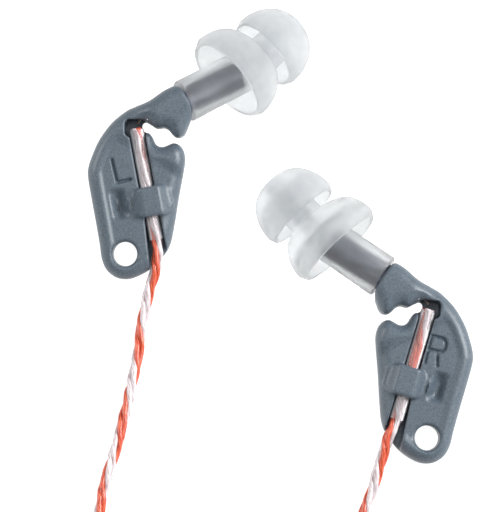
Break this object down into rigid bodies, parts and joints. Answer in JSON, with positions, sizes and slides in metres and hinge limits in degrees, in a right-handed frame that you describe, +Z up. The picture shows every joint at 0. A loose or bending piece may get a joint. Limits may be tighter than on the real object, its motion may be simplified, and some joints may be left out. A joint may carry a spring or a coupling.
{
  "type": "in ear monitors",
  "caption": "In-ear monitors: slotted paddle earpieces with flanged silicone tips on twisted cables to a splitter and jack plug",
  "frame": {"origin": "on the surface the set lies on, under the middle of the two earpieces", "axes": "+Z up out of the surface, +Y from the plug end towards the ear tips, +X from the left to the right earpiece"},
  "size_m": [0.0488, 0.15, 0.0128],
  "materials": {
    "moulded_body": "matte soft-touch moulding with rounded edges",
    "stem_plastic": "matte",
    "frosted_silicone": "frosted translucent silicone",
    "steel": "drawn can",
    "magnet": "ground",
    "copper": "enamelled wire",
    "film": "thin film",
    "board": "solder-masked board",
    "clear_sleeve": "clear tubing",
    "twisted_cable": "orange-red and white strands twisted under a clear skin",
    "tie": "soft strap",
    "black_moulding": "fine texture",
    "gold": "polished plating"
  },
  "bodies": {
    "cable_set": {"left_paddle": "moulded_body", "left_cable_sleeve": "clear_sleeve", "right_paddle": "moulded_body", "right_cable_sleeve": "clear_sleeve", "left_cable": "twisted_cable", "left_coil": "twisted_cable", "left_coil_tie": "tie", "left_cable_lower": "twisted_cable", "right_cable": "twisted_cable", "right_coil": "twisted_cable", "right_coil_tie": "tie", "right_cable_lower": "twisted_cable", "main_cable": "twisted_cable", "main_coil": "twisted_cable", "main_coil_tie": "tie", "main_cable_lower": "twisted_cable", "splitter": "black_moulding", "plug_boot": "black_moulding", "plug_shell": "black_moulding", "plug_sleeve_contact": "gold", "plug_ring_contact": "gold", "plug_tip_contact": "gold", "plug_insulator_rear": "black_moulding", "plug_insulator_front": "black_moulding"},
    "left_neck": {"left_neck": "moulded_body", "left_stem": "stem_plastic", "left_acoustic_damper": "steel", "left_driver_case": "steel", "left_driver_cover": "steel", "left_driver_spout": "steel", "left_driver_yoke": "steel", "left_driver_magnet_lower": "magnet", "left_driver_magnet_upper": "magnet", "left_driver_armature": "steel", "left_driver_pin": "steel", "left_driver_coil": "copper", "left_driver_diaphragm": "film", "left_driver_terminals": "board", "left_lead_1": "copper", "left_lead_2": "copper"},
    "left_tip": {"left_ear_tip": "frosted_silicone"},
    "right_neck": {"right_neck": "moulded_body", "right_stem": "stem_plastic", "right_acoustic_damper": "steel", "right_driver_case": "steel", "right_driver_cover": "steel", "right_driver_spout": "steel", "right_driver_yoke": "steel", "right_driver_magnet_lower": "magnet", "right_driver_magnet_upper": "magnet", "right_driver_armature": "steel", "right_driver_pin": "steel", "right_driver_coil": "copper", "right_driver_diaphragm": "film", "right_driver_terminals": "board", "right_lead_1": "copper", "right_lead_2": "copper"},
    "right_tip": {"right_ear_tip": "frosted_silicone"},
    "slider": {"cable_slider": "black_moulding"}
  },
  "joints": [
    {"name": "left_neck_flex", "type": "hinge", "parent": "cable_set", "child": "left_neck", "pos_m": [-0.01911, 0.01526, 0.00555], "axis": [0, -0.2639, 0.9646], "range_deg": [-4, 8], "stiffness_Nm_per_rad": 0.012},
    {"name": "left_tip_slide", "type": "slide", "parent": "left_neck", "child": "left_tip", "axis": [0.8318, 0.5034, -0.2338], "range_m": [0, 0.009]},
    {"name": "right_neck_flex", "type": "hinge", "parent": "cable_set", "child": "right_neck", "pos_m": [0.01991, -0.00858, 0.00383], "axis": [0, 0.1822, -0.9833], "range_deg": [-4, 8], "stiffness_Nm_per_rad": 0.012},
    {"name": "right_tip_slide", "type": "slide", "parent": "right_neck", "child": "right_tip", "axis": [-0.8277, 0.5599, -0.0378], "range_m": [0, 0.009]},
    {"name": "slider_slide", "type": "slide", "parent": "cable_set", "child": "slider", "axis": [0, 1, 0], "range_m": [-0.001, 0.003]}
  ]
}
